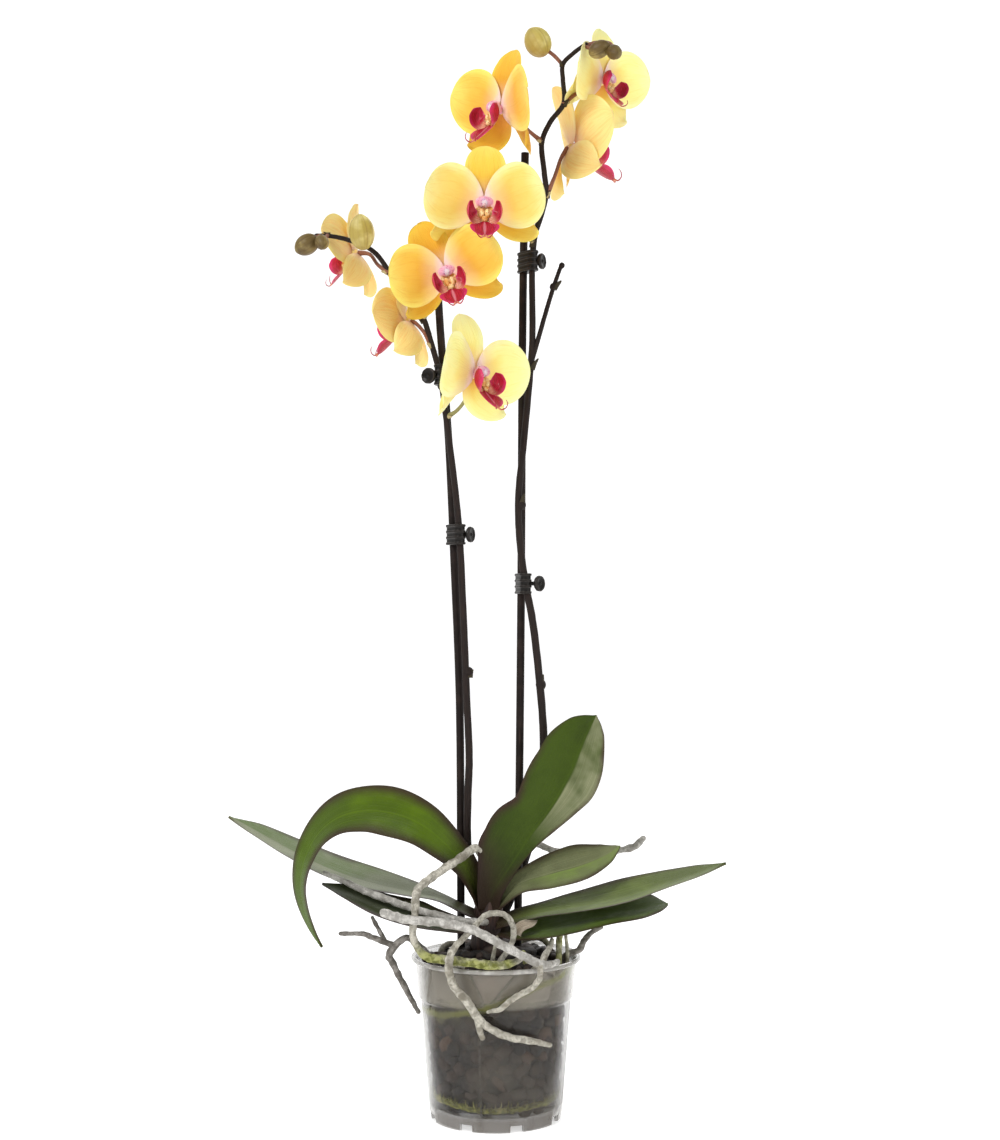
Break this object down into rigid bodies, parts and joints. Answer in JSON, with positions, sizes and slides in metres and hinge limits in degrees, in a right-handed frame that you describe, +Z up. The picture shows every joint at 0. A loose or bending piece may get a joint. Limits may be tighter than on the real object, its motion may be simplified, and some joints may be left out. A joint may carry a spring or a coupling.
{
  "type": "potted orchid",
  "caption": "Moth orchid in a clear plastic pot of bark, with broad strap leaves, pale aerial roots, and two flower spikes clipped to dark stakes with golden flowers and closed buds.",
  "frame": {"origin": "on the floor, under the middle of the plant's bounding box; the pot's own axis is 16.1 mm to the right of it and 1.5 mm behind it", "axes": "+Z up along the pot's axis, +X to the right and -Y to the front as in the picture"},
  "size_m": [0.3549, 0.1478, 0.7788],
  "materials": {
    "pot_plastic": "clear, hazy with use, with a ring of moss inside",
    "bark": "coarse chips, matt",
    "crown": "dry leaf bases, matt",
    "leaf": "waxy, with a dark purple edge",
    "spike": "smooth dark brown to green, with swollen nodes",
    "root": "papery, silvery grey with green patches",
    "stake_plastic": "satin, near black",
    "clip_plastic": "ribbed, dark and slightly clear",
    "tepal_golden": "velvety, golden towards the middle and lemon at the edge",
    "tepal_lemon": "velvety pale lemon",
    "lip": "fleshy crimson with an orange callus",
    "bud_skin": "smooth yellow-green to olive"
  },
  "bodies": {
    "root": {"pot": "pot_plastic", "support_stake_left": "stake_plastic", "support_stake_right": "stake_plastic", "crown_stem": "crown", "growing_medium": "bark", "flower_spike_left": "spike", "flower_spike_right": "spike", "stake_clip_1": "clip_plastic", "stake_clip_2": "clip_plastic", "stake_clip_3": "clip_plastic", "stake_clip_4": "clip_plastic", "leaf_arching": "leaf", "leaf_upright": "leaf", "leaf_long_left": "leaf", "leaf_dark_left": "leaf", "leaf_small_right": "leaf", "leaf_long_right": "leaf", "leaf_low_right": "leaf", "aerial_root_front": "root", "aerial_root_back": "root", "aerial_root_left": "root", "aerial_root_across": "root", "aerial_root_over_rim": "root", "aerial_root_hanging": "root", "aerial_root_wall": "root", "aerial_root_right": "root", "flower_1_sepals": "tepal_golden", "flower_1_petals": "tepal_golden", "flower_1_lip": "lip", "flower_2_sepals": "tepal_golden", "flower_2_petals": "tepal_golden", "flower_2_lip": "lip", "flower_3_sepals": "tepal_golden", "flower_3_petals": "tepal_golden", "flower_3_lip": "lip", "flower_4_sepals": "tepal_lemon", "flower_4_petals": "tepal_lemon", "flower_4_lip": "lip", "flower_5_sepals": "tepal_golden", "flower_5_petals": "tepal_golden", "flower_5_lip": "lip", "flower_6_sepals": "tepal_lemon", "flower_6_petals": "tepal_lemon", "flower_6_lip": "lip", "flower_7_sepals": "tepal_golden", "flower_7_petals": "tepal_golden", "flower_7_lip": "lip", "flower_8_sepals": "tepal_golden", "flower_8_petals": "tepal_golden", "flower_8_lip": "lip", "bud_1": "bud_skin", "bud_2": "bud_skin", "bud_3": "bud_skin", "bud_4": "bud_skin", "bud_5": "bud_skin", "bud_6": "bud_skin"}
  },
  "joints": []
}
